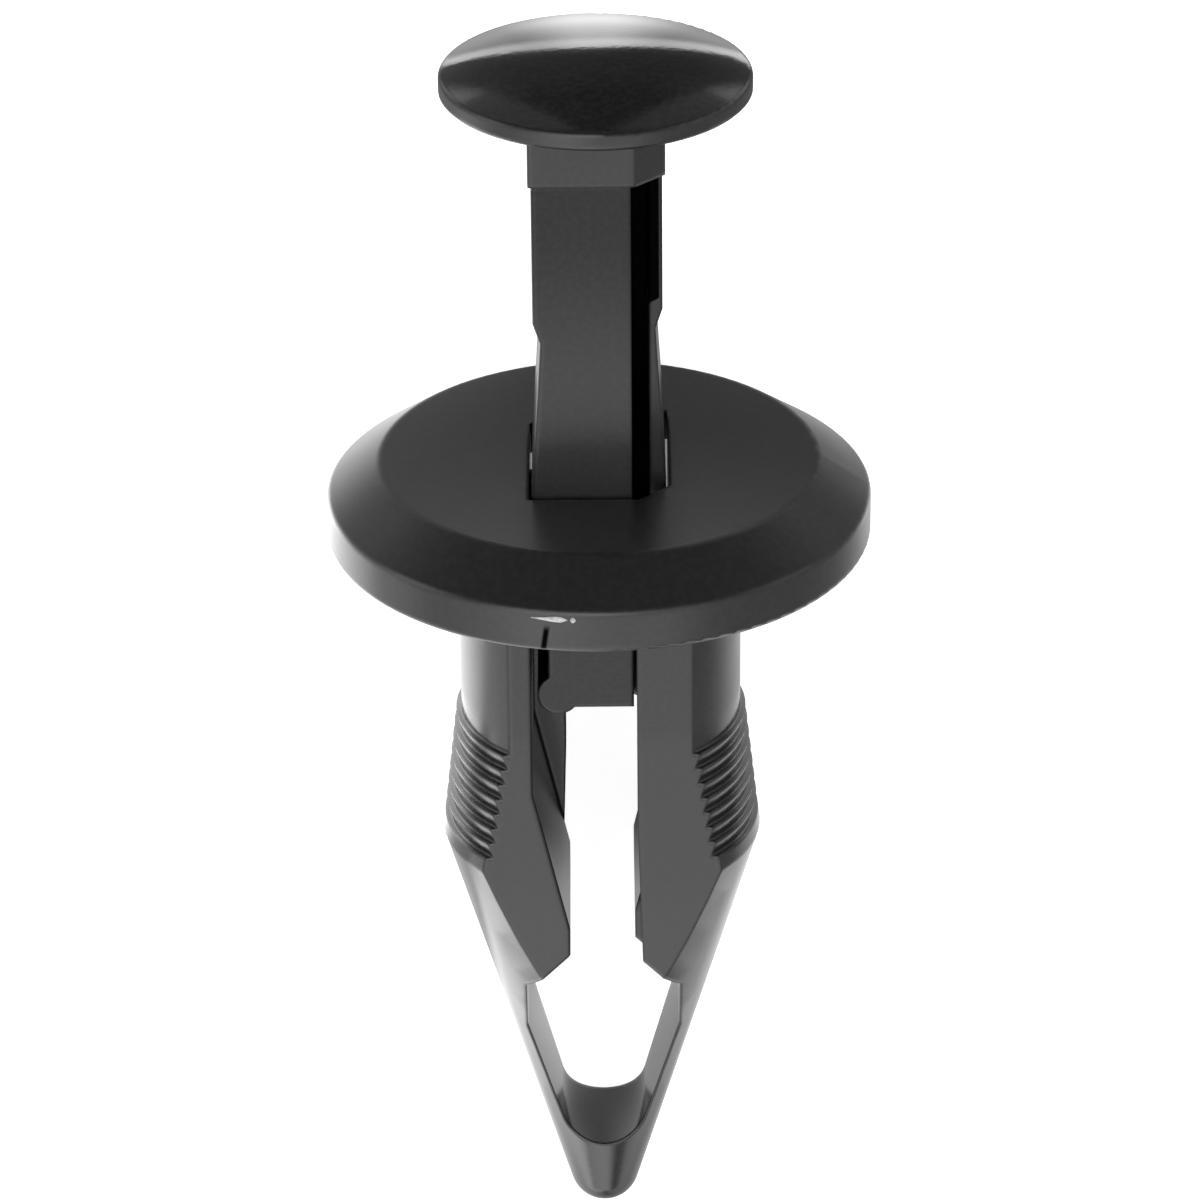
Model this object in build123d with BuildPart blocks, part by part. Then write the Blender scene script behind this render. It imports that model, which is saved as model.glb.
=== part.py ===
from build123d import *
from math import asin, atan2, cos, degrees, hypot, radians, sin, tan
import os

# Two-piece plastic push rivet, in millimetres.
# The retainer goes into a panel hole as far as its flange, and pressing the pin home spreads its legs.
# Both pieces are drawn upright on the rivet's axis Z, with z = 0 on the flange's seat and the pin's head
# at the top. The last section lays the finished pieces down, as a loose rivet rests on flange and nose.
# Each piece looks the same again after half a turn about the axis, so a one-sided feature is made once
# for each angle in HALF_TURNS.

HALF_TURNS = (0, 180)

# ---- Flange of the retainer
flange_radius = 9.0
flange_height = 2.68
rim_height = 1.45
rim_rounding = 0.2
flange_wall = 1.1
top_disc_radius = 7.25
top_rounding = 0.3
seat_width = 1.0

# ---- Legs of the retainer
neck_radius = 4.7
neck_length = 6.67
leg_half_depth = 3.6
leg_edge_rounding = 0.15
rib_count = 8
rib_pitch = 0.56
rib_depth = 0.2
first_rib_radius = 4.88
last_rib_radius = 5.38

# ---- Cams and guides on the inside of the legs
ramp_start = 8.22
ramp_length = 5.2
cam_half_gap = 1.1
cam_land = 1.0
cam_edge_rounding = 0.1
guide_half_gap = 1.2
guide_thickness = 1.2
guide_flare_start = 9.6
guide_flare = 0.15

# ---- Nose, where the legs meet below the window
nose_length = 15.17
tip_radius = 1.2
strap_wall = 0.7
window_half_width = 2.6
window_corner = 0.4
window_shoulder = 2.0
window_floor_radius = 1.5

# ---- Push pin
head_radius = 5.05
head_rim = 0.65
head_dome = 0.95
head_rounding = 0.15
head_chamfer = 0.1
pin_travel = 13.0
collar_half_width = 2.2
collar_half_depth = 3.25
collar_height = 2.0
collar_chamfer = 1.0
collar_rounding = 0.1
shank_half_width = 2.1
shank_inset = 0.05
shank_rounding = 0.12
waist_top = 8.88
waist_step = 0.7
waist_half_width = 1.87
tail_half_width = 1.75
tail_taper = 1.2
tail_end = 5.07
bead_radius = 0.7
bead_overhang = 0.35
bead_drop = 0.25
slot_width = 0.55
slot_depth = 1.5
slot_end = 1.0

# ---- Clearances between the pin and the retainer
hole_clearance = 0.1
guide_clearance = 0.1
guide_side_clearance = 0.4
collar_end_gap = 0.3

# ---- Dependent sizes of the retainer
disc_underside = flange_height - flange_wall
bevel_angle = atan2(flange_height - rim_height, flange_radius - top_disc_radius)
recess_radius = flange_radius - seat_width
recess_side = rim_height + seat_width * tan(bevel_angle) - flange_wall / cos(bevel_angle)
recess_top_radius = recess_radius - (disc_underside - recess_side) / tan(bevel_angle)
passage_half_width = collar_half_width + hole_clearance
passage_half_depth = collar_half_depth + hole_clearance
guide_top = flange_height - collar_height - collar_end_gap
guide_inner_face = leg_half_depth - guide_thickness

nose_top = -neck_length - rib_count * rib_pitch
tip_centre = nose_top - nose_length + tip_radius
tip_reach = nose_top - tip_centre
nose_angle = atan2(last_rib_radius, tip_reach) - asin(tip_radius / hypot(last_rib_radius, tip_reach))
nose_slope = tan(nose_angle)
strap_width = strap_wall / cos(nose_angle)

ramp_end = -ramp_start - ramp_length
cam_end = ramp_end - cam_land
catch_end = cam_end - (window_half_width - cam_half_gap)
window_side_end = nose_top - (last_rib_radius - strap_width - window_half_width) / nose_slope
window_point = nose_top - (last_rib_radius - strap_width) / nose_slope
guide_end_half_gap = guide_half_gap + guide_flare
guide_end = cam_end - (guide_end_half_gap - cam_half_gap)

# ---- Dependent sizes of the pin
head_underside = flange_height + pin_travel
head_rim_top = head_underside + head_rim
head_top = head_rim_top + head_dome
dome_edge_radius = head_radius - head_rounding
dome_radius = (dome_edge_radius**2 + head_dome**2) / (2 * head_dome)
collar_bottom = head_underside - collar_height
shank_half_depth = collar_half_depth - shank_inset
plate_edge = guide_half_gap - guide_clearance
step_face = guide_inner_face - guide_side_clearance
bead_centre = tail_half_width + bead_overhang - bead_radius


# ======== Retainer body: one moulding

with BuildPart() as retainer_body:
    # The stem: a round neck, sawtooth ribs that widen downwards and a tapered nose with a ball end.
    with BuildSketch(Plane.XZ):
        with BuildLine():
            outline = [(0, disc_underside), (neck_radius, disc_underside), (neck_radius, -neck_length)]
            for rib in range(rib_count):
                shoulder = -neck_length - rib * rib_pitch
                crest = first_rib_radius + (last_rib_radius - first_rib_radius) * rib / rib_count
                if rib > 0:
                    outline.append((crest - rib_depth, shoulder))
                outline.append((crest, shoulder))
            tip_edge = (tip_radius * cos(nose_angle), tip_centre - tip_radius * sin(nose_angle))
            tip_side = (tip_radius * sin(radians(45)), tip_centre - tip_radius * cos(radians(45)))
            tip_end = (0, tip_centre - tip_radius)
            Polyline(*outline, (last_rib_radius, nose_top), tip_edge)
            ThreePointArc(tip_edge, tip_side, tip_end)
            Line(tip_end, (0, disc_underside))
        make_face()
    revolve(axis=Axis.Z)

    # Flats on the front and the back of the legs.
    with BuildSketch(Plane.XY.offset(disc_underside)):
        Rectangle(4 * last_rib_radius, 2 * leg_half_depth)
    extrude(amount=-(disc_underside - nose_top + nose_length), mode=Mode.INTERSECT)
    neck_edges = retainer_body.edges().filter_by(Axis.Z).filter_by_position(
        Axis.Z, -neck_length, disc_underside
    )
    fillet(neck_edges, leg_edge_rounding)

    # The flange: a flat disc with a sloping skirt of even wall, down to a level seat ring.
    with BuildSketch(Plane.XZ):
        with BuildLine():
            Polyline(
                (0, disc_underside),
                (recess_top_radius, disc_underside),
                (recess_radius, recess_side),
                (recess_radius, 0),
                (flange_radius, 0),
                (flange_radius, rim_height),
                (top_disc_radius, flange_height),
                (0, flange_height),
                close=True,
            )
        make_face()
    revolve(axis=Axis.Z)
    circles = retainer_body.edges().filter_by(GeomType.CIRCLE)
    fillet(circles.filter_by(lambda edge: abs(edge.radius - flange_radius) < 0.001), rim_rounding)
    circles = retainer_body.edges().filter_by(GeomType.CIRCLE)
    fillet(circles.filter_by(lambda edge: abs(edge.radius - top_disc_radius) < 0.001), top_rounding)

    # The hole for the pin. Two of its corners stay filled, where the pin's collar is chamfered.
    with BuildSketch(Plane.XY.offset(flange_height)):
        Rectangle(2 * passage_half_width, 2 * passage_half_depth)
        chamfer(vertices().filter_by(lambda corner: corner.X * corner.Y < 0), collar_chamfer)
    extrude(amount=-flange_wall, mode=Mode.SUBTRACT)

    # The gap between the legs above the guides, where the collar goes when the pin is home.
    with BuildSketch(Plane.XY.offset(disc_underside)):
        Rectangle(2 * passage_half_width, 4 * leg_half_depth)
    extrude(amount=-(disc_underside - guide_top), mode=Mode.SUBTRACT)

    for turn in HALF_TURNS:
        leg_plane = Plane.XZ.rotated((0, 0, turn))

        # One leg's cam: a straight passage, a ramp towards the axis and a short land.
        with BuildSketch(leg_plane.offset(-guide_inner_face)):
            with BuildLine():
                Polyline(
                    (0, guide_top),
                    (-passage_half_width, guide_top),
                    (-passage_half_width, -ramp_start),
                    (-cam_half_gap, ramp_end),
                    (-cam_half_gap, cam_end),
                    (0, cam_end),
                    close=True,
                )
            make_face()
        extrude(amount=guide_inner_face + 2 * leg_half_depth, mode=Mode.SUBTRACT)

        # The same leg's guide: a thin wall at the far face that keeps the pin straight.
        with BuildSketch(leg_plane.offset(-2 * leg_half_depth)):
            with BuildLine():
                Polyline(
                    (0, guide_top),
                    (-guide_half_gap, guide_top),
                    (-guide_half_gap, -guide_flare_start),
                    (-guide_end_half_gap, guide_end),
                    (0, guide_end),
                    close=True,
                )
            make_face()
        extrude(amount=2 * leg_half_depth - guide_inner_face, mode=Mode.SUBTRACT)

    # The window through the nose: catch slopes at 45 degrees, then two straps of even wall.
    with BuildSketch(Plane.XZ) as window:
        with BuildLine():
            Polyline(
                (-cam_half_gap, cam_end),
                (-window_half_width, catch_end),
                (-window_half_width, window_side_end),
                (0, window_point),
                (window_half_width, window_side_end),
                (window_half_width, catch_end),
                (cam_half_gap, cam_end),
                close=True,
            )
        make_face()
        corners = window.vertices().group_by(Axis.Y)
        fillet(corners[0], window_floor_radius)
        fillet(corners[1], window_shoulder)
        fillet(corners[2], window_corner)
    extrude(amount=2 * leg_half_depth, both=True, mode=Mode.SUBTRACT)

    # Small rounding where each cam's straight and sloping faces meet the open side of its leg.
    face_edges = retainer_body.edges().filter_by(
        lambda edge: abs(abs(edge.center().Y) - leg_half_depth) < 0.001
        and edge.center().X * edge.center().Y > 0
        and abs(edge.center().X) < passage_half_width + 0.001
        and edge.center().Z > cam_end
    )
    fillet(face_edges, cam_edge_rounding)


# ======== Push pin: one moulding

with BuildPart() as push_pin:
    # The shank's outline from the front: straight, a stepped waist, a flare and a narrower tail.
    with BuildSketch(Plane.XZ):
        with BuildLine():
            right_side = [
                (shank_half_width, collar_bottom),
                (shank_half_width, waist_top),
                (waist_half_width, waist_top - waist_step),
                (collar_half_width, flange_height),
                (collar_half_width, disc_underside),
                (tail_half_width, disc_underside - tail_taper),
                (tail_half_width, -tail_end),
            ]
            left_side = [(-x, z) for x, z in reversed(right_side)]
            Polyline(*right_side, *left_side, close=True)
        make_face()
    extrude(amount=shank_half_depth, both=True)
    shank_faces = push_pin.faces().filter_by(Axis.Y)
    side_edges = shank_faces.edges().filter_by(lambda edge: abs(edge.center().X) > bead_radius)
    fillet(side_edges, shank_rounding)

    for turn in HALF_TURNS:
        side_plane = Plane.XZ.rotated((0, 0, turn))

        # A round bead along the end of the full side, which snaps past the end of the cam.
        with BuildSketch(side_plane.offset(-step_face)):
            with Locations((-bead_centre, bead_radius - tail_end - bead_drop)):
                Circle(bead_radius)
        extrude(amount=step_face + shank_half_depth)

    for turn in HALF_TURNS:
        # A corner step that clears the guide, and behind it a slot that leaves a thin strip outside.
        section_plane = Plane.XY.offset(collar_bottom).rotated((0, 0, turn))
        with BuildSketch(section_plane):
            with Locations((plate_edge, -step_face)):
                Rectangle(collar_half_width, collar_half_depth, align=(Align.MIN, Align.MAX))
        extrude(amount=-(collar_bottom + 2 * tail_end), mode=Mode.SUBTRACT)
        with BuildSketch(section_plane):
            with Locations((plate_edge, -step_face)):
                Rectangle(slot_width, slot_depth, align=(Align.MIN, Align.MIN))
        extrude(amount=-(collar_bottom - slot_end), mode=Mode.SUBTRACT)

    # The collar, which fills the flange's hole when the pin is home.
    with BuildSketch(Plane.XY.offset(collar_bottom)):
        Rectangle(2 * collar_half_width, 2 * collar_half_depth)
        chamfer(vertices().filter_by(lambda corner: corner.X * corner.Y < 0), collar_chamfer)
        fillet(vertices(), collar_rounding)
    extrude(amount=collar_height)

    # The head: a flat underside, a thin rim with its edges eased and a low dome.
    with BuildSketch(Plane.XZ):
        with BuildLine():
            dome_edge = (dome_edge_radius, head_rim_top)
            rim_end = (head_radius, head_rim_top - head_rounding)
            Polyline((0, head_top), (0, head_underside), (head_radius, head_underside), rim_end)
            RadiusArc(rim_end, dome_edge, -head_rounding)
            RadiusArc(dome_edge, (0, head_top), -dome_radius)
        make_face()
    revolve(axis=Axis.Z)
    rim_circles = push_pin.edges().filter_by(GeomType.CIRCLE).filter_by(
        lambda edge: abs(edge.radius - head_radius) < 0.001
    )
    chamfer(rim_circles.sort_by(Axis.Z)[0], head_chamfer)


# ======== The loose rivet lies on the flange's rim and the nose's ball end, with its front face up

rim_to_tip = hypot(flange_radius - rim_rounding, rim_rounding - tip_centre)
rest_angle = atan2(flange_radius - rim_rounding, rim_rounding - tip_centre)
rest_angle -= asin((tip_radius - rim_rounding) / rim_to_tip)
rest_height = tip_radius - tip_centre * sin(rest_angle)
head_reach = (head_top - dome_radius) * cos(rest_angle) + dome_radius
nose_reach = tip_radius - tip_centre * cos(rest_angle)
resting = Location((0, (nose_reach - head_reach) / 2, rest_height), (degrees(rest_angle) - 90, 0, 0))

retainer_body.part.move(resting)
retainer_body.part.label = "retainer_body"
push_pin.part.move(resting)
push_pin.part.label = "push_pin"

os.makedirs("parts", exist_ok=True)
export_step(retainer_body.part, "parts/retainer_body.step")
export_step(push_pin.part, "parts/push_pin.step")
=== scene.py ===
# %% [markdown]
# # Plastic push rivet
# A black nylon push rivet lies loose on a pale floor, on its flange and the ball end of its nose. The packed
# CAD model gives both mouldings their true shape. This script adds what only a camera sees: the plastic's
# finish, the light and the view. Apart from a tiny torn lip, nothing of the rivet is modelled here, because
# the solids already have every edge.

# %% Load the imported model
import math
import bmesh
import bpy
from mathutils import Matrix, Vector


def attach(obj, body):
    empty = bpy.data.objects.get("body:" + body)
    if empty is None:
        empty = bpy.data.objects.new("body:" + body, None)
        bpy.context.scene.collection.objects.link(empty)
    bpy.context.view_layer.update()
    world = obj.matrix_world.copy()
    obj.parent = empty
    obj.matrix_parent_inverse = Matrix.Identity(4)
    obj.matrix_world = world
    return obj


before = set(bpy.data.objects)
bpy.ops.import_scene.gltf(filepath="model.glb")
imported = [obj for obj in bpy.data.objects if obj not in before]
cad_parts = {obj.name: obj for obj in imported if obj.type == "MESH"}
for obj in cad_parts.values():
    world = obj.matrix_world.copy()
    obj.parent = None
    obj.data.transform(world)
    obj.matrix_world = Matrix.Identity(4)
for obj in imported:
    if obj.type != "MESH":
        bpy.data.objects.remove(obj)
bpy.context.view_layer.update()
MM_PER_METRE = 1000.0

# %% [markdown]
# ## The rivet's own frame
# The rivet doesn't lie along a world axis: its axis climbs towards the head. The view, the light and the
# plastic's zones are easier to say in the rivet's own upright frame, where z runs up the axis from the seat
# under the flange and -y is the front. One matrix turns such values into world ones, so every later cell can
# speak in millimetres on the rivet.

# %% Own frame
TILT = math.radians(17.027)
SEAT_CENTRE = Vector((0.0, 0.00406081, 0.00855570))
OWN_TO_WORLD = Matrix((
    (1.0, 0.0, 0.0),
    (0.0, math.sin(TILT), math.cos(TILT)),
    (0.0, -math.cos(TILT), math.sin(TILT)),
))
MM = 0.001
HEAD_TOP = 17.28


def own_direction(x, y, z):
    return OWN_TO_WORLD @ Vector((x, y, z))


def own_point(x, y, z):
    return SEAT_CENTRE + own_direction(x, y, z) * MM


print("head's top in the world:", [round(v * MM_PER_METRE, 2) for v in own_point(0.0, 0.0, HEAD_TOP)])

# %% [markdown]
# ## Building node trees
# A procedural material is a small program drawn as nodes. Wiring nodes by hand takes three lines each, so
# this helper adds one node, sets its plain inputs and links the others. A value that is an output socket gets
# a link, and anything else becomes the input's own setting. Sums and smooth ramps are needed most, so they
# get a helper each, and the last helper gives the place on a piece in the rivet's own frame.

# %% Node helpers
def add_node(tree, kind, inputs=None, **settings):
    """A new node with its settings, and with its inputs set to values or linked to sockets."""
    node = tree.nodes.new(kind)
    for name, value in settings.items():
        setattr(node, name, value)
    for key, value in (inputs or {}).items():
        if isinstance(value, bpy.types.NodeSocket):
            tree.links.new(value, node.inputs[key])
        else:
            node.inputs[key].default_value = value
    return node


def maths(tree, operation, first, second=0.0):
    """The result of one sum on two values or sockets."""
    return add_node(tree, "ShaderNodeMath", {0: first, 1: second}, operation=operation).outputs[0]


def ramp(tree, value, start, end, low, high):
    """Goes smoothly from low to high while value goes from start to end."""
    inputs = {"Value": value, "From Min": start, "From Max": end, "To Min": low, "To Max": high}
    return add_node(tree, "ShaderNodeMapRange", inputs, interpolation_type="SMOOTHSTEP").outputs["Result"]


def own_millimetres(tree):
    """The place on the piece as x, y and z in the rivet's own frame, in millimetres."""
    turn = OWN_TO_WORLD.transposed()
    mapping = add_node(tree, "ShaderNodeMapping", {
        "Vector": add_node(tree, "ShaderNodeTexCoord").outputs["Object"],
        "Location": turn @ SEAT_CENTRE * -MM_PER_METRE,
        "Rotation": turn.to_euler(),
        "Scale": (MM_PER_METRE, MM_PER_METRE, MM_PER_METRE),
    })
    return mapping.outputs["Vector"]


# %% [markdown]
# ## Moulded grain
# Nylon copies its steel mould. The mould's spark-eroded faces leave a fine, even orange-peel that turns a
# sharp reflection into a satin one, and the melt's flow leaves soft patches where the gloss changes a little.
# Both belong on either piece, so they are one node group with a few outputs: a height for the bump, a
# roughness offset and a faint tone. A group keeps the recipe in one place, and each material says only how
# strongly it is used.

# %% Grain group
GRAIN_PER_MM = 5.0
GRAIN_CONTRAST = (0.35, 0.7)
TONE_RANGE = (0.8, 1.25)
FLOW_PER_MM = 0.35
FLOW_CONTRAST = (0.35, 0.65)
GLOSS_RANGE = (-0.012, 0.012)
grain_group = bpy.data.node_groups.new("moulded_grain", "ShaderNodeTree")
grain_group.interface.new_socket("Place", in_out="INPUT", socket_type="NodeSocketVector")
for output in ("Height", "Gloss Change", "Tone"):
    grain_group.interface.new_socket(output, in_out="OUTPUT", socket_type="NodeSocketFloat")
group_in = add_node(grain_group, "NodeGroupInput")
place = group_in.outputs["Place"]
fine = add_node(grain_group, "ShaderNodeTexNoise", {"Vector": place, "Scale": GRAIN_PER_MM, "Detail": 3.0})
flow = add_node(grain_group, "ShaderNodeTexNoise", {"Vector": place, "Scale": FLOW_PER_MM, "Detail": 2.0})
add_node(grain_group, "NodeGroupOutput", {
    "Height": fine.outputs["Fac"],
    "Gloss Change": ramp(grain_group, flow.outputs["Fac"], *FLOW_CONTRAST, *GLOSS_RANGE),
    "Tone": ramp(grain_group, fine.outputs["Fac"], *GRAIN_CONTRAST, *TONE_RANGE),
})
print("grain group:", len(grain_group.nodes), "nodes, bumps about", 1 / GRAIN_PER_MM, "mm apart")

# %% [markdown]
# ## Zones along the rivet
# The plastic is nearly black, so almost all that an eye sees of it is reflection, and its look is set by
# where it is satin, polished or dull. Those zones follow each other along the rivet's own axis. They could be
# separate materials, but each border would then be a hard line along the mesh's facets. So one helper turns a
# list of smooth steps in height into a value, and the other multiplies several ramps into a mask.

# %% Zone helpers
def stepped(tree, height, first, *steps):
    """first, changed by each (from, to, change) between two own heights in millimetres."""
    value = first
    for start, end, change in steps:
        value = maths(tree, "ADD", ramp(tree, height, start, end, 0.0, change), value)
    return value


def mask(tree, *edges):
    """The product of a ramp for each (value, edge, before, after)."""
    shade = 1.0
    for value, edge, before, after in edges:
        shade = maths(tree, "MULTIPLY", shade, ramp(tree, value, *edge, before, after))
    return shade


# %% [markdown]
# ## Slots and a crack
# The slots beside the pin's shank look black, because hardly any light finds its way out of them. On the
# model they would still mirror a bright card, so a mask paints shade over them: a darker colour and a dimmed
# reflection. Above the waist the painted shade also covers the narrow strip outside each slot. The short
# crack in the flange's rim is too fine to cut, and is nothing but such painted shade. Each pair of numbers
# holds the two values between which one edge of a mask fades, in own millimetres, or in square millimetres
# for the product of x and y.

# %% Painted shade masks
SLOT_START = (1.05, 1.10)
SLOT_WALL = 1.63
STRIP_EDGE = 2.0
STRIP_BLUR = (-0.03, 0.03)
WAIST = (9.0, 9.3)
SLOT_TOP = (13.6, 13.7)
SLOT_FOOT = (0.9, 1.1)
OPPOSITE_SIGNS = (-0.6, 0.0)
CRACK_LEFT = (-1.97, -1.88)
CRACK_RIGHT = (-1.79, -1.69)
CRACK_FRONT = (-8.6, -8.5)
CRACK_TOP = (0.75, 1.05)
CRACK_FOOT = (0.05, 0.12)
CRACK_SLANT = 0.14


def slot_shade(tree, x, y, z):
    """1 in the slots beside the shank and 0 elsewhere: they lie where x and y have different signs.

    Above the waist, the shaded part reaches over the narrow strip outside the slot as well."""
    side = maths(tree, "ABSOLUTE", x)
    past_edge = maths(tree, "SUBTRACT", side, ramp(tree, z, *WAIST, SLOT_WALL, STRIP_EDGE))
    corner = maths(tree, "MULTIPLY", x, y)
    return mask(tree, (side, SLOT_START, 0.0, 1.0), (past_edge, STRIP_BLUR, 1.0, 0.0),
                (corner, OPPOSITE_SIGNS, 1.0, 0.0), (z, SLOT_FOOT, 0.0, 1.0), (z, SLOT_TOP, 1.0, 0.0))


def painted_crack_shade(tree, x, y, z):
    """1 in the short crack below the gate mark on the front of the rim, where shade is painted. It leans and
    fades at its top.
    """
    across = maths(tree, "SUBTRACT", x, maths(tree, "MULTIPLY", z, CRACK_SLANT))
    return mask(tree, (across, CRACK_LEFT, 0.0, 1.0), (across, CRACK_RIGHT, 1.0, 0.0),
                (y, CRACK_FRONT, 1.0, 0.0), (z, CRACK_FOOT, 0.0, 1.0), (z, CRACK_TOP, 1.0, 0.0))


# %% [markdown]
# ## A true dome
# The head's crown is part of a sphere, but its mesh is made of facets, and narrow ones meet at its centre. In
# a sharp reflection they show as dents. More triangles would only make the dents smaller, so the shading
# takes the normal of the sphere itself, which is the direction from the sphere's centre to the point. Both
# values are own heights: where the sphere's centre lies, and where the crown starts.

# %% Dome
DOME_CENTRE = 4.168
DOME_EDGE = (16.30, 16.36)


def with_dome(tree, normal, z):
    """The given normal, but a sphere's over the crown."""
    place = add_node(tree, "ShaderNodeTexCoord").outputs["Object"]
    centre = tuple(own_point(0.0, 0.0, DOME_CENTRE))
    outwards = add_node(tree, "ShaderNodeVectorMath", {0: place, 1: centre}, operation="SUBTRACT")
    sphere = add_node(tree, "ShaderNodeVectorTransform", {"Vector": outwards.outputs["Vector"]},
                      vector_type="NORMAL", convert_from="OBJECT", convert_to="WORLD")
    mix = add_node(tree, "ShaderNodeMix", data_type="VECTOR")
    tree.links.new(ramp(tree, z, *DOME_EDGE, 0.0, 1.0), mix.inputs["Factor"])
    vectors = [socket for socket in mix.inputs if socket.type == "VECTOR" and socket.name in "AB"]
    tree.links.new(normal, vectors[0])
    tree.links.new(sphere.outputs["Vector"], vectors[1])
    result = [socket for socket in mix.outputs if socket.type == "VECTOR"][0]
    return add_node(tree, "ShaderNodeVectorMath", {0: result}, operation="NORMALIZE").outputs["Vector"]


# %% [markdown]
# ## Black nylon
# One recipe serves every piece of nylon. Roughness does most of the work: a clear coat would add a second
# sharp highlight that bare nylon doesn't have. Some parts mirror less than their neighbours at the same
# roughness. A plastic's reflection at a given angle is fixed by its index, so Metallic serves as a dimmer
# here: a metal's mirror has the base colour, which is black. The Bevel node rounds the shading of every sharp
# edge over a fraction of a millimetre, so that edges catch a thin light as moulded ones do.

# %% Nylon
BLACK = (0.0100, 0.0100, 0.0104)
NYLON_INDEX = 1.53
CROWN = 0.09
POLISHED = 0.13
SATIN = 0.34
RIBBED = 0.2
EDGE_RADIUS = 0.0002
EDGE_SAMPLES = 8
GRAIN_STRENGTH = 0.12
GRAIN_DEPTH = 0.00002
SHADE_DEPTH = 0.9


def nylon(name, roughness_steps, dull_steps, is_pin, base=BLACK):
    """Moulded nylon whose roughness and dullness change in steps along the rivet's axis."""
    material = bpy.data.materials.new(name)
    material.use_nodes = True
    tree = material.node_tree
    shader = tree.nodes["Principled BSDF"]
    shader.inputs["IOR"].default_value = NYLON_INDEX
    place = own_millimetres(tree)
    x, y, z = add_node(tree, "ShaderNodeSeparateXYZ", {"Vector": place}).outputs
    grain = add_node(tree, "ShaderNodeGroup", node_tree=grain_group)
    tree.links.new(place, grain.inputs["Place"])
    roughness = maths(tree, "ADD", grain.outputs["Gloss Change"], stepped(tree, z, *roughness_steps))
    rounded = add_node(tree, "ShaderNodeBevel", {"Radius": EDGE_RADIUS}, samples=EDGE_SAMPLES)
    normal = rounded.outputs["Normal"]
    if is_pin:
        normal = with_dome(tree, normal, z)
    # Painted shade: the pin's slots, or the crack in the retainer's rim, get a darker colour and a dimmed
    # reflection.
    shade = slot_shade(tree, x, y, z) if is_pin else painted_crack_shade(tree, x, y, z)
    dull = maths(tree, "MAXIMUM", stepped(tree, z, *dull_steps), shade)
    darkening = maths(tree, "SUBTRACT", 1.0, maths(tree, "MULTIPLY", shade, SHADE_DEPTH))
    tone = maths(tree, "MULTIPLY", grain.outputs["Tone"], darkening)
    colour = add_node(tree, "ShaderNodeVectorMath", {0: base, "Scale": tone}, operation="SCALE")
    bump = add_node(tree, "ShaderNodeBump", {
        "Strength": GRAIN_STRENGTH, "Distance": GRAIN_DEPTH,
        "Height": grain.outputs["Height"], "Normal": normal})
    tree.links.new(colour.outputs["Vector"], shader.inputs["Base Color"])
    tree.links.new(roughness, shader.inputs["Roughness"])
    tree.links.new(dull, shader.inputs["Metallic"])
    tree.links.new(bump.outputs["Normal"], shader.inputs["Normal"])
    return material


# %% [markdown]
# ## The two mouldings
# Each list starts with the value at the lower end, and each step says between which two heights it changes
# and by how much. The nose is polished, the ribs above it less so, and the rest of the retainer is satin. The
# pin is satin up to its crown. It is dull below the flange, bright above it, duller again up the shank and
# bright from the collar on. A CAD piece keeps its mesh, and only gets its material.

# %% Mouldings
retainer_roughness = (POLISHED, (-13.5, -11.2, RIBBED - POLISHED), (-6.5, -5.5, SATIN - RIBBED))
pin_roughness = (SATIN, (16.25, 16.35, CROWN - SATIN))
pin_dullness = (0.35, (-0.5, 1.0, -0.35), (6.0, 12.5, 0.52), (13.6, 13.8, -0.52))
finishes = {
    "retainer_body": nylon("retainer_nylon", retainer_roughness, (0.0,), False),
    "push_pin": nylon("pin_nylon", pin_roughness, pin_dullness, True),
}
for node_name, material in finishes.items():
    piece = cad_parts[node_name]
    piece.data.materials.clear()
    piece.data.materials.append(material)
    print(node_name, "gets", material.name, "with", len(material.node_tree.nodes), "nodes")

# %% [markdown]
# ## Gate mark
# Plastic enters the mould through a gate, here at the front of the flange's rim. Breaking the runner off
# leaves a thin raised lip with a nick in it, far too small to matter for the fit. Nylon whitens where it
# tears, and the lip's pale grey is partly a painted highlight too, so the lip shows as a short pale line. A
# painted line would vanish at a low angle, so the lip is a real ridge. It starts as one face with a small
# outline of (distance from the rim, height) points. That face is extruded, turned about the rivet's axis and
# scaled to the next size, step by step, so the lip swells out of the rim and ends round, as torn plastic
# does. The extrusion keeps the face that it starts from. The first one closes the ridge's end, and later ones
# would be walls inside it, so they are deleted. Each part says, in degrees round from the front, where it
# starts and ends.

# %% Gate mark
RIM_RADIUS = 9.0
LIP_OUTLINE = ((-0.03, 1.08), (0.045, 1.12), (0.045, 1.19), (-0.02, 1.33))
LIP_MIDDLE = (-0.03, 1.21)
LIP_PARTS = (
    (-16.5, -6.7, (0.15, 0.3, 0.4, 0.5, 0.65, 0.85, 1.0, 1.0, 0.4)),
    (-6.1, -5.0, (0.5, 1.0, 1.0, 0.5)),
)
# Pale grey: nylon whitened where it tore, and partly a painted highlight.
TORN_GREY_AND_HIGHLIGHT = (0.70, 0.70, 0.70)


def rim_point(angle, out, height):
    """The place at an angle round from the front and at a distance out from the rim."""
    radius = RIM_RADIUS + out
    return own_point(radius * math.sin(angle), -radius * math.cos(angle), height)


def resize(bm, verts, angle, factor):
    """Scales an outline at this angle about the middle of the lip."""
    to_middle = Matrix.Translation(-rim_point(angle, *LIP_MIDDLE))
    bmesh.ops.scale(bm, vec=(factor, factor, factor), space=to_middle, verts=verts)


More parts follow.
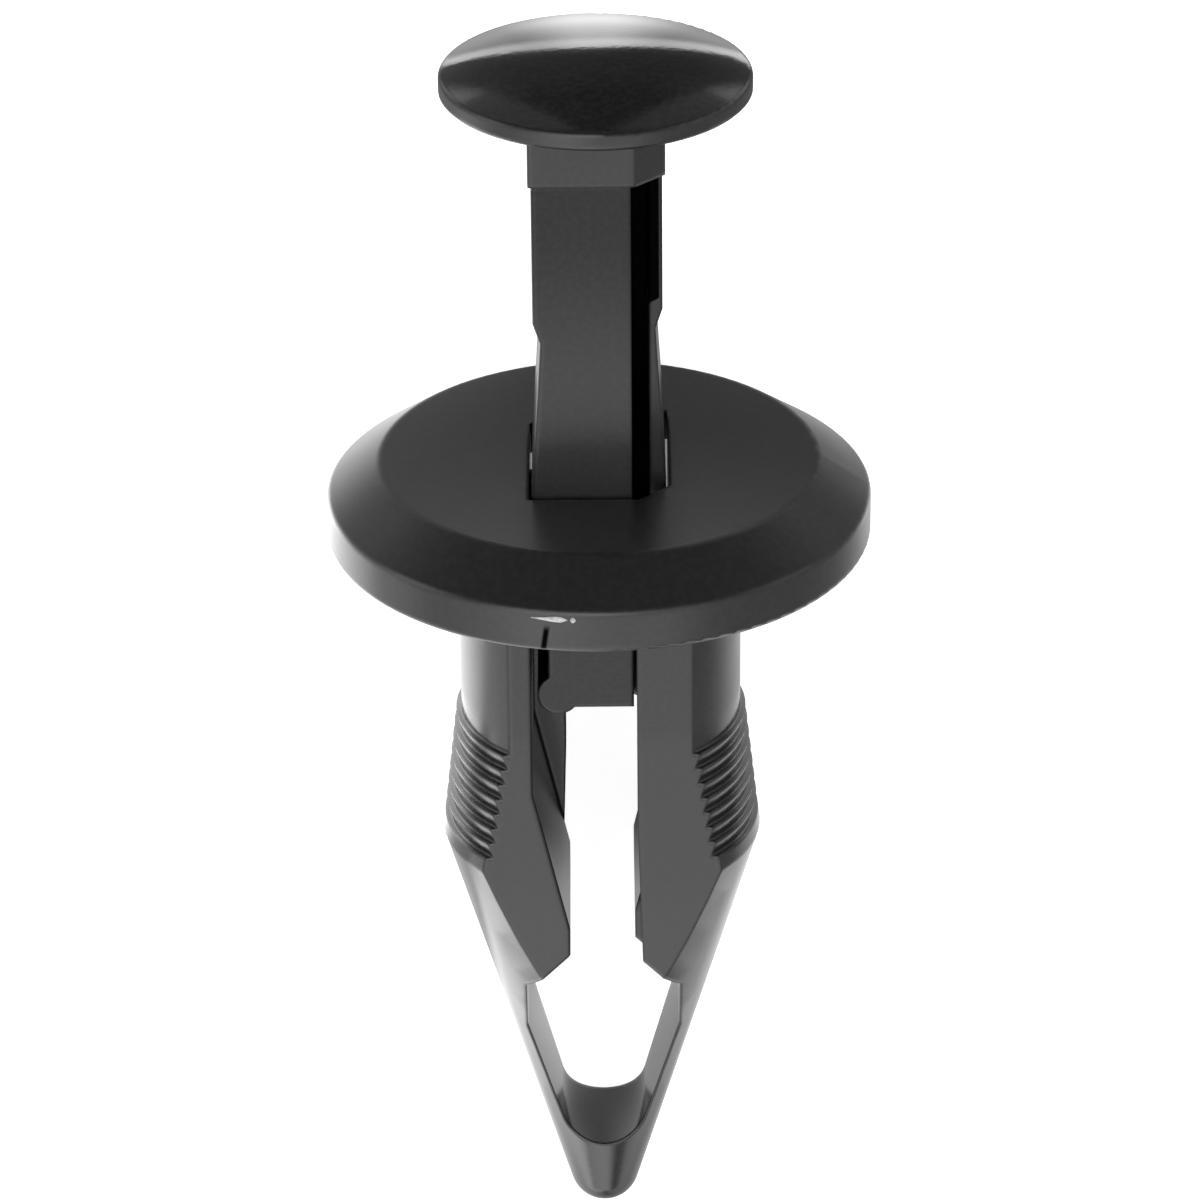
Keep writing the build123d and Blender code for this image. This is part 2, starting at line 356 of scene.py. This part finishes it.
def torn_ridge(bm, start, end, sizes):
    """A closed ridge round the rim between two angles, with its outline drawn at each of the sizes."""
    angle = math.radians(start)
    turn = math.radians(end - start) / (len(sizes) - 1)
    rotation = Matrix.Rotation(turn, 3, own_direction(0.0, 0.0, 1.0))
    outline = bm.faces.new([bm.verts.new(rim_point(angle, *corner)) for corner in LIP_OUTLINE])
    resize(bm, list(outline.verts), angle, sizes[0])
    for step, (size, next_size) in enumerate(zip(sizes, sizes[1:])):
        extruded = bmesh.ops.extrude_face_region(bm, geom=[outline])["geom"]
        if step > 0:
            bmesh.ops.delete(bm, geom=[outline], context="FACES_ONLY")
        outline = next(item for item in extruded if isinstance(item, bmesh.types.BMFace))
        bmesh.ops.rotate(bm, cent=SEAT_CENTRE, matrix=rotation, verts=list(outline.verts))
        angle += turn
        resize(bm, list(outline.verts), angle, next_size / size)


bm = bmesh.new()
for start, end, sizes in LIP_PARTS:
    torn_ridge(bm, start, end, sizes)
bmesh.ops.recalc_face_normals(bm, faces=bm.faces)
open_edges = sum(len(edge.link_faces) != 2 for edge in bm.edges)
lip_mesh = bpy.data.meshes.new("gate_mark")
bm.to_mesh(lip_mesh)
bm.free()
lip = bpy.data.objects.new("gate_mark", lip_mesh)
bpy.context.scene.collection.objects.link(lip)
lip_mesh.materials.append(nylon("torn_nylon_with_highlight", (SATIN,), (0.0,), False, TORN_GREY_AND_HIGHLIGHT))
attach(lip, "retainer")
print("gate mark:", len(lip_mesh.polygons), "faces,", len(LIP_PARTS), "ridges,", open_edges, "open edges")

# %% [markdown]
# ## Pale floor
# The rivet lies on a sheet of white acrylic lit from below, a light table. A plain white sheet under lamps
# would turn grey in places, and a glowing one stays even. The glow would drown the soft contact shadow, so it
# fades to nothing in a small round patch where the flange touches. The sheet is one large grid face, hidden
# from reflections.

# %% Floor
FLOOR_HALF_SIZE = 3.0
FLOOR_WHITE = (0.9, 0.9, 0.9, 1.0)
FLOOR_GLOW = 0.72
UNDER_FLANGE = (0.0, 0.0048, 0.0)
PATCH_EDGE = (0.003, 0.0045)
bm = bmesh.new()
bmesh.ops.create_grid(bm, x_segments=1, y_segments=1, size=FLOOR_HALF_SIZE)
floor_mesh = bpy.data.meshes.new("floor")
bm.to_mesh(floor_mesh)
bm.free()
floor = bpy.data.objects.new("floor", floor_mesh)
bpy.context.scene.collection.objects.link(floor)

floor_material = bpy.data.materials.new("white_acrylic")
floor_material.use_nodes = True
floor_shader = floor_material.node_tree.nodes["Principled BSDF"]
floor_shader.inputs["Base Color"].default_value = FLOOR_WHITE
floor_shader.inputs["Roughness"].default_value = 1.0
floor_shader.inputs["Specular IOR Level"].default_value = 0.0
floor_shader.inputs["Emission Color"].default_value = (1.0, 1.0, 1.0, 1.0)
floor_tree = floor_material.node_tree
from_flange = add_node(floor_tree, "ShaderNodeVectorMath", {
    0: add_node(floor_tree, "ShaderNodeTexCoord").outputs["Object"], 1: UNDER_FLANGE}, operation="DISTANCE")
glow = ramp(floor_tree, from_flange.outputs["Value"], *PATCH_EDGE, 0.0, FLOOR_GLOW)
floor_tree.links.new(glow, floor_shader.inputs["Emission Strength"])
floor_mesh.materials.append(floor_material)
floor.visible_glossy = False
print("floor:", 2 * FLOOR_HALF_SIZE, "m wide, with a glow of", FLOOR_GLOW)

# %% [markdown]
# ## Soft daylight
# Even white light from all sides lights the floor and the little that the plastic scatters. It is hidden
# from reflections, because the next cells give the gloss its own surroundings. The Standard view keeps
# white white.

# %% Soft daylight
world = bpy.data.worlds.new("soft_daylight")
bpy.context.scene.world = world
world.use_nodes = True
world.node_tree.nodes["Background"].inputs["Color"].default_value = (1.0, 1.0, 1.0, 1.0)
world.node_tree.nodes["Background"].inputs["Strength"].default_value = 1.0
world.cycles_visibility.glossy = False
bpy.context.scene.view_settings.view_transform = "Standard"
print("world:", world.name, "seen in reflections:", world.cycles_visibility.glossy)

# %% [markdown]
# ## What the gloss shows
# A glossy black thing looks like its surroundings, so a studio shapes those with white and grey cards.
# Here a tent and a table stand for the cards. Only reflection rays see them, so they can be bright without
# washing out the floor, and each is one smooth formula that can be tuned patch by patch. The helper makes
# such an unseen glowing object from a bmesh.

# %% Reflection helper
def reflection_object(name, bm, matrix):
    """An unseen glowing object. Gives its node tree and the socket that takes the glow's strength."""
    mesh = bpy.data.meshes.new(name)
    bm.to_mesh(mesh)
    bm.free()
    obj = bpy.data.objects.new(name, mesh)
    bpy.context.scene.collection.objects.link(obj)
    obj.matrix_world = matrix
    for ray in ("camera", "diffuse", "shadow", "transmission", "volume_scatter"):
        setattr(obj, "visible_" + ray, False)
    material = bpy.data.materials.new(name)
    material.use_nodes = True
    material.cycles.emission_sampling = "NONE"
    mesh.materials.append(material)
    tree = material.node_tree
    tree.nodes.clear()
    glow = add_node(tree, "ShaderNodeEmission")
    add_node(tree, "ShaderNodeOutputMaterial", {"Surface": glow.outputs["Emission"]})
    return tree, glow.inputs["Strength"]


def total(tree, levels):
    """The sum of all the levels."""
    result = levels[0]
    for level in levels[1:]:
        result = maths(tree, "ADD", result, level)
    return result


# %% [markdown]
# ## The tent
# The tent is a sphere round the rivet whose brightness depends only on the direction. An image of a studio
# could do the same, but a formula can be changed light by light. Directions are given as an azimuth, from the
# nose's side (0) round to the right, and an elevation over the floor, in degrees.

# %% Tent
TENT_RADIUS = 1.0
bm = bmesh.new()
bmesh.ops.create_icosphere(bm, subdivisions=4, radius=TENT_RADIUS)
bmesh.ops.reverse_faces(bm, faces=bm.faces)
tent, tent_strength = reflection_object("reflection_tent", bm, Matrix.Translation(SEAT_CENTRE))
unit = add_node(tent, "ShaderNodeVectorMath", {
    0: add_node(tent, "ShaderNodeTexCoord").outputs["Object"]}, operation="NORMALIZE").outputs["Vector"]
print("tent:", TENT_RADIUS, "m in radius")


def towards(azimuth, elevation):
    """The direction with this azimuth and elevation, both in degrees."""
    azimuth, elevation = math.radians(azimuth), math.radians(elevation)
    flat = math.cos(elevation)
    return (flat * math.sin(azimuth), -flat * math.cos(azimuth), math.sin(elevation))


def patch(azimuth, elevation, inner, outer, strength):
    """A round soft light: full inside the angle inner, gone outside the angle outer."""
    inputs = {0: unit, 1: towards(azimuth, elevation)}
    nearness = add_node(tent, "ShaderNodeVectorMath", inputs, operation="DOT_PRODUCT").outputs["Value"]
    start, end = math.cos(math.radians(outer)), math.cos(math.radians(inner))
    return ramp(tent, nearness, start, end, 0.0, strength)


# %% [markdown]
# ## Lights in the tent
# The broad front light is what the flat faces of the shank and the legs mirror. A ceiling dims it above 46
# degrees, so that faces which look further up stay dark. The other lights are weaker or smaller and draw
# bright edges: some near the floor for the nose and the legs, and some high up for the flange and the head.
# The head's end of the tent has none, which makes the crown's reflection end in a clean line.

# %% Tent lights
TENT_GLOW = 0.12
CEILING_START, CEILING_END = math.sin(math.radians(46)), math.sin(math.radians(51))
BELOW_CEILING, ABOVE_CEILING = 1.0, 0.12
elevation_sine = add_node(tent, "ShaderNodeSeparateXYZ", {"Vector": unit}).outputs["Z"]
ceiling = ramp(tent, elevation_sine, CEILING_START, CEILING_END, BELOW_CEILING, ABOVE_CEILING)
lights = {
    "front": maths(tent, "MULTIPLY", patch(0, 42, 14, 44, 1.45), ceiling),
    "nose front": patch(-8, 2, 8, 26, 1.8),
    "front left": patch(-35, 34, 8, 40, 0.9),
    "left": patch(-65, 12, 10, 45, 0.6),
    "right": patch(50, 25, 10, 55, 0.55),
    "overhead": patch(0, 86, 2, 14, 3.0),
    "high left": patch(-70, 70, 8, 32, 2.6),
    "high right": patch(80, 68, 8, 34, 0.9),
    "side left": patch(-105, 8, 8, 28, 1.8),
    "side right": patch(110, 8, 8, 28, 0.9),
}
tent.links.new(total(tent, [TENT_GLOW, *lights.values()]), tent_strength)
print("tent lights:", ", ".join(lights))

# %% [markdown]
# ## The table
# Under and behind the rivet the gloss sees the table, just under the floor. All places on it are said in
# millimetres: across runs to the right, along runs from the nose to the head, and both start below the
# rivet's middle. A patch is a product of ramps, one for each of its edges.

# %% Table
TABLE_HALF_SIZE = 0.6
TABLE_DEPTH = 0.0002
bm = bmesh.new()
bmesh.ops.create_grid(bm, x_segments=1, y_segments=1, size=TABLE_HALF_SIZE)
below_floor = Matrix.Translation((0.0, 0.0, -TABLE_DEPTH))
table, table_strength = reflection_object("reflection_table", bm, below_floor)
spot = add_node(table, "ShaderNodeSeparateXYZ", {
    "Vector": add_node(table, "ShaderNodeTexCoord").outputs["Object"]})
across, along = spot.outputs["X"], spot.outputs["Y"]


def mm_ramp(value, start, end, low, high):
    """Like ramp, with start and end in millimetres on the table."""
    return ramp(table, value, start * MM, end * MM, low, high)


def product(*factors):
    """All the factors multiplied together."""
    result = factors[0]
    for factor in factors[1:]:
        result = maths(table, "MULTIPLY", result, factor)
    return result


side = maths(table, "ABSOLUTE", across)
print("table:", 2 * TABLE_HALF_SIZE, "m wide")

# %% [markdown]
# ## Beside and below the rivet
# The round neck and the nose mirror what lies beside them. The left is bright and the right is greyer, so
# they get a light and a dark side. The ribs would drown in that brightness, so a darker band lies where they
# look, and a bright strip on each side of the flange draws their edges. A little light lies straight below
# the nose.

# %% Sides of the table
left_side = product(mm_ramp(across, -9.0, 1.0, 3.2, 0.0), mm_ramp(across, -45.0, -14.0, 0.5, 1.0))
rib_shadow = total(table, [
    mm_ramp(along, -9.5, -7.0, 0.35, 1.0),
    mm_ramp(along, -15.0, -12.5, 0.65, 0.0),
])
left_side = product(left_side, rib_shadow)
right_side = product(mm_ramp(across, 0.0, 7.0, 0.0, 1.3), mm_ramp(across, 12.0, 26.0, 1.0, 0.36))
sides = product(total(table, [left_side, right_side]), mm_ramp(along, 4.0, 14.0, 1.0, 0.0))

below_nose = product(mm_ramp(along, -10.5, -7.0, 0.5, 0.0), mm_ramp(side, 2.0, 5.0, 1.0, 0.0))
rib_light = total(table, [
    mm_ramp(across, -16.0, -12.5, 4.3, 0.0),
    mm_ramp(across, 12.5, 16.0, 0.0, 2.0),
])
rib_light = product(rib_light, mm_ramp(side, 20.0, 24.0, 1.0, 0.0))
rib_light = product(rib_light, mm_ramp(along, 1.0, 4.0, 0.0, 1.0), mm_ramp(along, 7.0, 9.5, 1.0, 0.0))
print("table nodes so far:", len(table.nodes))

# %% [markdown]
# ## Behind the head
# The table behind the flange is grey, brightest on the left, and fades away from the rivet. On it lies one
# white card, which the domed head mirrors as a bright crescent. It is brightest down its middle and along its
# far edge. A dome bends a straight edge, so that edge is bowed the other way and its image ends in a level
# line. A grey card on each side of it lights the ends of the head.

# %% Cards behind the head
CARD_CENTRE = -0.0005
CARD_BOW = 90.0
BOW_LIMIT = 0.0062
left_corner = product(mm_ramp(across, -9.0, -4.0, 0.45, 0.0), mm_ramp(along, 9.0, 15.0, 1.0, 0.0))
behind = total(table, [mm_ramp(across, -10.0, 6.0, 0.56, 0.34), left_corner])
behind = product(behind, mm_ramp(along, 6.0, 11.0, 0.0, 1.0), mm_ramp(along, 16.0, 38.0, 1.0, 0.35))
behind = product(behind, mm_ramp(along, 42.0, 60.0, 1.0, 0.4), mm_ramp(side, 7.0, 14.0, 0.5, 1.0))

off_centre = maths(table, "SUBTRACT", across, CARD_CENTRE)
bow = maths(table, "MINIMUM", product(off_centre, off_centre, CARD_BOW), BOW_LIMIT)
bowed = total(table, [along, bow])
card_level = total(table, [mm_ramp(side, 0.5, 4.5, 2.2, 0.8), mm_ramp(bowed, 29.3, 31.6, 0.0, 1.5)])
card_edges = product(mm_ramp(along, 20.5, 25.0, 0.3, 1.0), mm_ramp(along, 17.0, 20.0, 0.0, 1.0))
card_edges = product(card_edges, mm_ramp(bowed, 33.0, 33.4, 1.0, 0.0))
card = product(card_level, card_edges, mm_ramp(side, 8.0, 10.5, 1.0, 0.0))

beside_card = product(mm_ramp(side, 11.0, 14.0, 0.0, 0.85), mm_ramp(along, 28.0, 31.0, 0.0, 1.0))
beside_card = product(beside_card, mm_ramp(along, 41.0, 45.0, 1.0, 0.25))
surroundings = [sides, below_nose, rib_light, behind, card, beside_card]
table.links.new(total(table, surroundings), table_strength)
print("table nodes:", len(table.nodes))

# %% [markdown]
# ## Camera
# The view looks down on the lying rivet, along a line 27 degrees above its front. A long lens from 200 mm
# away keeps the flange's ellipse nearly the same from edge to edge. The focal length is kept in pixels of a
# 1200-pixel frame, because a sight line's slope then reads straight off the frame, and it becomes millimetres
# of lens only at the end. The target is a point on the rivet's axis, in own millimetres, and the camera is
# pitched so that it falls on the target row.

# %% Camera
VIEW_PITCH = math.radians(26.6)
VIEW_DISTANCE = 200.0
FOCAL_PIXELS = 6030.0
IMAGE_PIXELS = 1200.0
TARGET = (0.0, 0.0, 0.88)
TARGET_ROW = 503.0
ROLL = math.radians(0.5)
SENSOR_WIDTH = 36.0
CLIP_RANGE = (0.01, 10.0)

target = own_point(*TARGET)
away = own_direction(0.0, -math.cos(VIEW_PITCH), math.sin(VIEW_PITCH))
position = target + away * VIEW_DISTANCE * MM

pitch = VIEW_PITCH + math.atan((IMAGE_PIXELS / 2 - TARGET_ROW) / FOCAL_PIXELS)
forward = own_direction(0.0, math.cos(pitch), -math.sin(pitch))
right = own_direction(1.0, 0.0, 0.0)
up = right.cross(forward)
turned_right = right * math.cos(ROLL) - up * math.sin(ROLL)
turned_up = up * math.cos(ROLL) + right * math.sin(ROLL)

camera_data = bpy.data.cameras.new("camera")
camera = bpy.data.objects.new("camera", camera_data)
bpy.context.scene.collection.objects.link(camera)
axes = Matrix((turned_right, turned_up, -forward)).transposed()
camera.matrix_world = Matrix.Translation(position) @ axes.to_4x4()
camera_data.sensor_width = SENSOR_WIDTH
camera_data.lens = camera_data.sensor_width * FOCAL_PIXELS / IMAGE_PIXELS
camera_data.clip_start, camera_data.clip_end = CLIP_RANGE
bpy.context.scene.camera = camera
print("lens:", round(camera_data.lens, 1), "mm")
